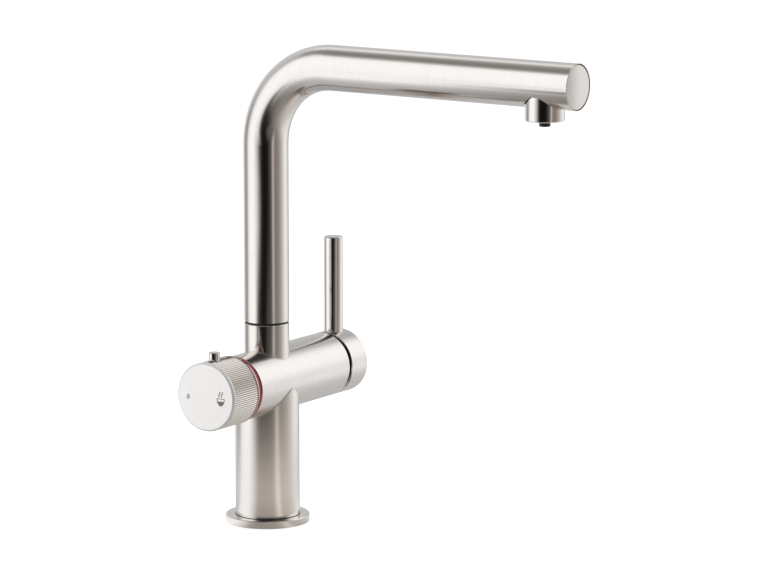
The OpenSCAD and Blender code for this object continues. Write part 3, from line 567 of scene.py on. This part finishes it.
def add_coil(foot, radius, wire, sides, pitch, turns):
    """A helix that rises round an upright axis from foot. Wire is the radius of its section."""
    coil = start_piece(bpy.ops.mesh.primitive_circle_add, vertices=sides, radius=wire, fill_type="NOTHING",
                       location=foot, rotation=(math.pi / 2, 0, 0))
    open_mesh(coil)
    bpy.ops.transform.rotate(value=math.pi / 2, orient_axis="Y", center_override=foot)
    bpy.ops.transform.translate(value=(radius, 0, 0))
    close_mesh()
    bpy.ops.object.transform_apply(location=False, rotation=True, scale=True)
    helix = coil.modifiers.new("helix", "SCREW")
    helix.steps = helix.render_steps = 32
    helix.screw_offset = pitch
    helix.iterations = turns
    apply_modifiers(coil)
    open_mesh(coil)
    bpy.ops.mesh.fill_holes(sides=0)
    close_mesh()
    return coil


# ---- The marks on the knob's face ----

FACE_TURN = (0, -math.pi / 2, 0)
MARK_THICKNESS = 0.00004
MARK_SUNK = 0.00001


def raise_mark(piece):
    """Gives a flat mark on the knob's face its thickness."""
    open_mesh(piece)
    bpy.ops.mesh.extrude_region_move(TRANSFORM_OT_translate={"value": (-MARK_THICKNESS, 0, 0)})
    close_mesh()


def add_drop_mark():
    """A water drop, for the setting that gives filtered water."""
    y, z = 0.0147, 0.1008
    radius, tip = 0.0015, 0.0012
    drop = start_piece(bpy.ops.mesh.primitive_circle_add, vertices=48, radius=radius, fill_type="NGON",
                       location=(KNOB_FACE_X + MARK_SUNK, y, z), rotation=FACE_TURN)
    open_mesh(drop)
    # The topmost point of the circle is drawn up into the drop's tip.
    choose(drop, lambda co: co.x > radius - 0.00001)
    bpy.ops.transform.translate(value=(0, 0, tip), use_proportional_edit=True,
                                proportional_edit_falloff="SHARP", proportional_size=2 * tip)
    close_mesh()
    raise_mark(drop)
    finish_piece(drop, "drop_mark", "drop_print", "knob")


CUP_Y = -0.0132
CUP_RIM_Z = 0.1026


def add_cup_mark():
    """A half full cup, for the setting that gives boiling water."""
    radius, slender = 0.00345, 1.62
    wall, water_depth = 0.0006, 0.0021
    cup = start_piece(bpy.ops.mesh.primitive_circle_add, vertices=64, radius=radius, fill_type="NGON",
                      location=(KNOB_FACE_X + MARK_SUNK, CUP_Y, CUP_RIM_Z), rotation=FACE_TURN)
    open_mesh(cup)
    bpy.ops.transform.resize(value=(1, 1, slender))
    bpy.ops.mesh.bisect(plane_co=(0, 0, CUP_RIM_Z), plane_no=(0, 0, 1), use_fill=False, clear_outer=True)
    bpy.ops.mesh.select_all(action="SELECT")
    bpy.ops.mesh.inset(thickness=wall, depth=0)
    bpy.ops.mesh.bisect(plane_co=(0, 0, CUP_RIM_Z - water_depth), plane_no=(0, 0, 1))
    # The face between the rim and the water is the cup's empty part.
    choose(cup, lambda co: -water_depth < co.x < -wall and abs(co.y) < radius / 2, faces=True)
    bpy.ops.mesh.delete(type="FACE")
    close_mesh()
    raise_mark(cup)
    finish_piece(cup, "cup_mark", "cup_print", "knob")


def add_steam_curls():
    """Two curls of steam over the cup."""
    spacing, rise = 0.0022, 0.0028
    width, height, sway, steps = 0.0009, 0.0040, 0.00055, 12
    for number, side in enumerate((-spacing / 2, spacing / 2)):
        curl = start_piece(bpy.ops.mesh.primitive_grid_add, x_subdivisions=steps, y_subdivisions=2, size=1.0,
                           location=(KNOB_FACE_X + MARK_SUNK, CUP_Y + side, CUP_RIM_Z + rise),
                           rotation=FACE_TURN)
        open_mesh(curl)
        bpy.ops.transform.resize(value=(1, width, height))
        for step in range(steps + 1):
            level = (step / steps - 0.5) * height
            choose(curl, lambda co: abs(co.x - level) < 0.0001)
            bpy.ops.transform.translate(value=(0, sway * math.sin(step / steps * 2 * math.pi), 0))
        close_mesh()
        raise_mark(curl)
        finish_piece(curl, "steam_curl_%d" % number, "cup_print", "knob")


# ---- Small pieces on and in the tap ----


def add_press_spring():
    """The coil spring under the safety button; the real one shortens as the button goes down."""
    low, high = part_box("button_spring")
    wire, turns = 0.00045, 4
    foot = ((low.x + high.x) / 2, (low.y + high.y) / 2, low.z + wire)
    pitch = (high.z - low.z - 2 * wire) / turns
    spring = add_coil(foot, (high.x - low.x) / 2 - wire, wire, 12, pitch, turns)
    finish_piece(spring, "press_spring", "steel", "knob")
    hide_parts("button_spring")
    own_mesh(spring)


def add_weld_beads():
    """The thin bright fillets where the upright tubes meet the round of the barrel and of the lever hub."""
    clear = 0.04
    form = start_piece(bpy.ops.mesh.primitive_cylinder_add, vertices=512, radius=BARREL_RADIUS, depth=0.25,
                       location=BARREL_AXIS, rotation=(0, math.pi / 2, 0))
    rows = (("neck_foot_bead", PIPE_RADIUS, 0.0, clear, 0.00040, "body"),
            ("column_top_bead", COLUMN_RADIUS, 0.0, -clear, 0.00045, "body"),
            ("rod_foot_bead", ROD_RADIUS, ROD_X, clear, 0.00035, "lever"))
    for name, radius, x, above, thickness, body in rows:
        bead = start_piece(bpy.ops.mesh.primitive_circle_add, vertices=128, radius=radius,
                           fill_type="NOTHING", location=(x, 0, BARREL_AXIS.z + above))
        wrap = bead.modifiers.new("onto_barrel", "SHRINKWRAP")
        wrap.target = form
        wrap.wrap_method = "PROJECT"
        wrap.use_project_z = True
        wrap.use_negative_direction = True
        wrap.use_positive_direction = True
        apply_modifiers(bead)
        bpy.ops.object.convert(target="CURVE")
        bead = bpy.context.active_object
        bead.data.bevel_depth = thickness
        bead.data.bevel_resolution = 2
        bpy.ops.object.convert(target="MESH")
        finish_piece(bpy.context.active_object, name, "hub", body, angle=60)
    pick(form)
    bpy.ops.object.delete()


def add_aerator_honeycomb():
    """The honeycomb that the water leaves through, round the boiling nozzle."""
    pitch, wall, depth, weld = 0.00150, 0.00014, 0.00045, 0.00002
    nearest, farthest, reach = 0.00505, 0.01065, 9
    places = []
    for row in range(-reach, reach + 1):
        for column in range(-reach, reach + 1):
            x = (column + 0.5 * (row % 2)) * pitch
            y = row * pitch * math.sqrt(0.75)
            if nearest < math.hypot(x, y) < farthest:
                places.append((OUTLET.x + x, OUTLET.y + y, COMB_TOP_Z))
    cell = {"vertices": 6, "radius": pitch / math.sqrt(3), "fill_type": "NGON"}
    comb = start_piece(bpy.ops.mesh.primitive_circle_add, location=places[0], **cell)
    open_mesh(comb)
    for place in places[1:]:
        bpy.ops.mesh.primitive_circle_add(location=place, **cell)
    bpy.ops.mesh.select_all(action="SELECT")
    bpy.ops.mesh.remove_doubles(threshold=weld)
    bpy.ops.mesh.select_all(action="SELECT")
    bpy.ops.mesh.select_mode(type="FACE")
    bpy.ops.mesh.inset(thickness=wall, depth=0, use_individual=True)
    bpy.ops.mesh.delete(type="FACE")
    bpy.ops.mesh.select_all(action="SELECT")
    bpy.ops.mesh.extrude_region_move(TRANSFORM_OT_translate={"value": (0, 0, -depth)})
    close_mesh()
    finish_piece(comb, "aerator_honeycomb", "white_plastic", "spout")


def add_aerator_rims():
    """The rims that hold the honeycomb at its outer and its inner edge."""
    rows = (("aerator_outer_rim", 0.01155, 0.01075),
            ("aerator_inner_rim", 0.00480, 0.00405))
    for name, outer, inner in rows:
        rim = add_turned_ring(outer, inner, AERATOR_FACE_Z - 0.00055, COMB_TOP_Z, OUTLET)
        finish_piece(rim, name, "white_plastic", "spout")


def add_threads():
    """The helical threads that the hoses and the fixing studs screw into, seen from below."""
    start = 0.0006
    cut = {"inlet": (0.0010, 0.00035), "hole": (0.0008, 0.00028)}
    for mount in frame["record"]["mounts"]:
        if mount["kind"] != "threaded_hole":
            continue
        name, use = mount["name"].rsplit("_", 1)
        pitch, wire = cut[use]
        x, y, mouth_z = mount["pos_m"]
        bore = mount["dims"]["r_mm"] / 1000
        turns = int(0.9 * mount["dims"]["length_mm"] / 1000 / pitch)
        thread = add_coil((x, y, mouth_z + start), bore - wire * 0.45, wire, 3, pitch, turns)
        finish_piece(thread, name + "_thread", "brass", "body")


def add_foot_shade_ring():
    """A thin black ring round the column's foot, put there as painted shade: it shows as the dark line where the
    column meets the foot ring.
    """
    # Painted shade: a black ring where the column meets the foot ring.
    shade_ring = add_turned_ring(COLUMN_RADIUS + 0.0003, COLUMN_RADIUS - 0.0002, BASE_TOP_Z - 0.0001,
                           BASE_TOP_Z + 0.0003, Vector((0, 0, 0)))
    finish_piece(shade_ring, "column_foot_shade_ring", "rubber", "body")


add_drop_mark()
add_cup_mark()
add_steam_curls()
add_press_spring()
add_weld_beads()
add_aerator_honeycomb()
add_aerator_rims()
add_threads()
add_foot_shade_ring()

# ---- Studio ----

CAMERA_PLACE = Vector((-2.3327, -1.6418, 0.6679))
CAMERA_LOOK = Vector((0.82173, 0.54315, -0.17250))
CAMERA_LENS_MM = 191.12
CAMERA_SENSOR_MM = 36.0
FRONT_ANGLE = math.atan2(-CAMERA_LOOK.y, -CAMERA_LOOK.x)
FLOOR_Z = -0.0003
FLOOR_RADIUS = 6.0


def grey(value, warm=0.0):
    """A grey, with more red and less blue the warmer it is."""
    return (value * (1 + 0.62 * warm), value, value * (1 - 0.62 * warm))


def in_turns(degrees):
    return degrees / 360


def make_studio_bands():
    """How bright the studio is in a direction: soft boxes left and right, dark room in front, dim ceiling.

    The angle round the tap counts from the side that faces the viewer, and grows to the viewer's right.
    Low is the ring at eye level. Close, Steep and Far are what the floor shows: beside the tap, from above,
    and from above further off. Lean turns the dark front, and Spread its left edge, by that many turns.
    A row of bands is an angle in degrees, how bright it is there and how warm.
    """
    g, given, result = new_group(
        "studio_bands",
        [("Direction", "NodeSocketVector", None), ("Lean", "NodeSocketFloat", 0.0),
         ("Spread", "NodeSocketFloat", 0.0)],
        [(label, "NodeSocketColor") for label in ("Low", "Close", "Steep", "Far", "All")])
    s = g.split(given["Direction"])
    angle = g.math("SUBTRACT", g.math("ARCTAN2", s[1], s[0]), FRONT_ANGLE)
    turn = g.math("DIVIDE", g.math("WRAP", angle, math.pi, -math.pi), 2 * math.pi)
    front = g.math("MULTIPLY", g.smooth(turn, in_turns(-60), in_turns(-46)),
                   g.smooth(turn, in_turns(5), in_turns(30), 1.0, 0.0))
    left_edge = g.math("MULTIPLY", g.smooth(turn, in_turns(-75), in_turns(-55)),
                       g.smooth(turn, in_turns(-30), 0.0, 1.0, 0.0))
    place = g.math("MULTIPLY_ADD", front, given["Lean"], g.math("ADD", turn, 0.5))
    place = g.math("MULTIPLY_ADD", left_edge, given["Spread"], place)
    height = g.math("ARCTAN2", s[2], g.hypot(s[0], s[1]))

    def bands(*rows):
        return g.ramp(place, [(in_turns(row[0] + 180), grey(*row[1:])) for row in rows])

    def rise(low, high):
        return g.smooth(height, math.radians(low), math.radians(high))

    low = bands(
        (-180, 0.58), (-150, 0.85), (-124, 0.32), (-114, 0.42), (-106, 0.68), (-98, 1.08), (-76, 1.22),
        (-63, 1.16), (-55, 0.98, 0.04), (-47, 0.72), (-37, 0.36), (-32, 0.13), (-27, 0.04), (-20, 0.008),
        (4, 0.008), (11, 0.025, 0.1), (18, 0.06, 0.17), (24, 0.09, 0.17), (29, 0.155, 0.15), (34, 0.43, 0.12),
        (38, 0.57, 0.12), (42, 0.35, 0.15), (47, 0.245, 0.17), (55, 0.225, 0.17), (63, 0.27, 0.15),
        (76, 0.38, 0.12), (86, 0.54, 0.08), (99, 0.78, 0.04), (112, 1.02), (134, 0.95), (150, 0.50),
        (180, 0.58))
    middle = bands(
        (-180, 0.60), (-160, 0.72), (-135, 0.60), (-115, 0.62), (-108, 1.0), (-95, 1.2), (-60, 1.2),
        (-50, 0.8), (-42, 0.3), (-33, 0.03), (50, 0.03, 0.1), (70, 0.15, 0.1), (85, 0.8, 0.04), (100, 1.15),
        (128, 1.22), (138, 0.95), (150, 0.5), (165, 0.52), (175, 0.55), (180, 0.60))
    upper = bands(
        (-180, 0.85), (-165, 0.95), (-152, 0.90), (-140, 0.45), (-128, 0.32), (-115, 0.42), (-101, 0.9),
        (-90, 1.1), (-75, 1.2), (-60, 1.1), (-45, 0.3), (-20, 0.05), (20, 0.05), (60, 0.3, 0.1),
        (90, 0.8, 0.04), (115, 1.1), (130, 1.1), (145, 0.6), (155, 0.5), (165, 0.6), (180, 0.85))
    ceiling = bands(
        (-180, 0.40, 0.1), (-150, 0.36, 0.1), (-120, 0.24, 0.1), (-60, 0.26, 0.1), (60, 0.33, 0.1),
        (180, 0.40, 0.1))
    close = bands(
        (-180, 0.60), (-148, 0.62), (-118, 1.05), (-60, 1.10), (-40, 0.95, 0.08), (-25, 0.90, 0.17),
        (20, 0.93, 0.17), (31, 1.25, 0.15), (40, 1.20, 0.15), (50, 0.93, 0.15), (70, 0.85, 0.12),
        (110, 0.76, 0.04), (140, 0.60), (180, 0.60))
    steep = bands(
        (-180, 0.38), (-110, 0.52), (-70, 0.55), (-45, 0.40), (-20, 0.28, 0.12), (20, 0.28, 0.15),
        (60, 0.50, 0.12), (90, 0.62, 0.06), (120, 0.62, 0.04), (160, 0.56), (180, 0.46))
    far = bands(
        (-180, 0.45), (-150, 0.50), (-125, 0.75), (-105, 1.12), (-60, 1.15), (-45, 0.60), (-30, 0.15, 0.1),
        (-18, 0.03), (4, 0.03, 0.1), (14, 0.13, 0.15), (45, 0.22, 0.15), (60, 0.34, 0.13), (90, 0.85, 0.05),
        (120, 0.92), (150, 0.75), (180, 0.50))
    whole = g.mix(rise(-4, 18), low, middle)
    whole = g.mix(rise(33, 44), whole, upper)
    whole = g.mix(rise(45, 58), whole, ceiling)
    for label, colour in (("Low", low), ("Close", close), ("Steep", steep), ("Far", far), ("All", whole)):
        g.feed(result[label], colour)
    return g.tree


STUDIO_BANDS = make_studio_bands()


def add_camera():
    data = bpy.data.cameras.new("camera")
    data.lens = CAMERA_LENS_MM
    data.sensor_width = CAMERA_SENSOR_MM
    data.sensor_fit = "HORIZONTAL"
    data.clip_end = 30.0
    camera = bpy.data.objects.new("camera", data)
    scene.collection.objects.link(camera)
    camera.location = CAMERA_PLACE
    camera.rotation_euler = CAMERA_LOOK.to_track_quat("-Z", "Y").to_euler()
    scene.camera = camera


def add_world():
    """White to the camera; the soft boxes and the dark room to what reflects it."""
    world = bpy.data.worlds.new("studio")
    scene.world = world
    world.use_nodes = True
    g = Graph(world.node_tree)
    background = world.node_tree.nodes["Background"].inputs
    direction = g.add("ShaderNodeTexCoord").outputs["Generated"]
    studio = g.use(STUDIO_BANDS, {"Direction": direction})["All"]
    seen = g.add("ShaderNodeLightPath").outputs["Is Camera Ray"]
    g.feed(background["Color"], g.mix(seen, studio, (1.0, 1.0, 1.0)))
    background["Strength"].default_value = 1.0


def floor_reflection(g):
    """What metal mirrors of the floor: darker towards the viewer, where the room is dark.

    The dark front leans and spreads with the distance from the tap, and close to it the floor is lit.
    """
    place = g.add("ShaderNodeTexCoord").outputs["Object"]
    distance = g.vector("LENGTH", place, out=1)
    lean = g.math("MULTIPLY", g.smooth(distance, 0.45, 0.65),
                  g.smooth(distance, 0.70, 1.60, in_turns(14), in_turns(-10)))
    lean = g.math("ADD", lean, g.smooth(distance, 1.62, 1.74, 0.0, in_turns(9)))
    spread = g.smooth(distance, 1.70, 2.00, 0.0, in_turns(4))
    studio = g.use(STUDIO_BANDS, {"Direction": place, "Lean": lean, "Spread": spread})
    lit = g.math("MULTIPLY", g.smooth(distance, 0.04, 0.14, 0.38, 0.60),
                 g.smooth(distance, 0.12, 0.50, 1.0, 0.0))
    flat_look = g.mix(lit, studio["Low"], studio["Close"])
    steep_look = g.mix(g.smooth(distance, 0.15, 0.6), studio["Steep"], studio["Far"])
    facing = g.add("ShaderNodeLayerWeight", {"Blend": 0.5}).outputs["Facing"]
    return g.mix(g.smooth(facing, 0.4, 0.8), steep_look, flat_look)


def add_floor():
    """A pale floor, white to the camera, with its own look for what reflects it."""
    floor = start_piece(bpy.ops.mesh.primitive_circle_add, vertices=96, radius=FLOOR_RADIUS, fill_type="NGON",
                        location=(0, 0, FLOOR_Z))
    floor.name = "floor"
    material = bpy.data.materials.new("pale_floor")
    material.use_nodes = True
    g = Graph(material.node_tree)
    g.tree.nodes.remove(g.tree.nodes["Principled BSDF"])
    mirror = g.add("ShaderNodeEmission", {"Color": floor_reflection(g), "Strength": 1.0}).outputs[0]
    shows = g.add("ShaderNodeEmission", {"Color": (1, 1, 1, 1), "Strength": 0.6}).outputs[0]
    diffuse = g.add("ShaderNodeBsdfDiffuse", {"Color": (0.82, 0.82, 0.82, 1)}).outputs[0]
    seen = g.add("ShaderNodeAddShader", {0: shows, 1: diffuse}).outputs[0]
    light = g.add("ShaderNodeLightPath").outputs
    first = g.add("ShaderNodeMixShader", {0: light["Is Camera Ray"], 1: diffuse, 2: seen}).outputs[0]
    both = g.add("ShaderNodeMixShader", {0: light["Is Glossy Ray"], 1: first, 2: mirror}).outputs[0]
    g.feed(g.tree.nodes["Material Output"].inputs["Surface"], both)
    floor.data.materials.append(material)


def add_overhead_soft_box():
    """A weak light from above. The camera and what reflects don't see it."""
    place = Vector((-0.3, -0.3, 2.2))
    aim = Vector((0, 0, 0.1))
    data = bpy.data.lights.new("overhead_soft_box", "AREA")
    data.shape = "RECTANGLE"
    data.size = data.size_y = 2.0
    data.energy = 26.0
    lamp = bpy.data.objects.new("overhead_soft_box", data)
    scene.collection.objects.link(lamp)
    lamp.location = place
    lamp.rotation_euler = (aim - place).to_track_quat("-Z", "Y").to_euler()
    lamp.visible_camera = False
    lamp.visible_glossy = False


add_camera()
add_world()
add_floor()
add_overhead_soft_box()
scene.view_settings.view_transform = "Standard"
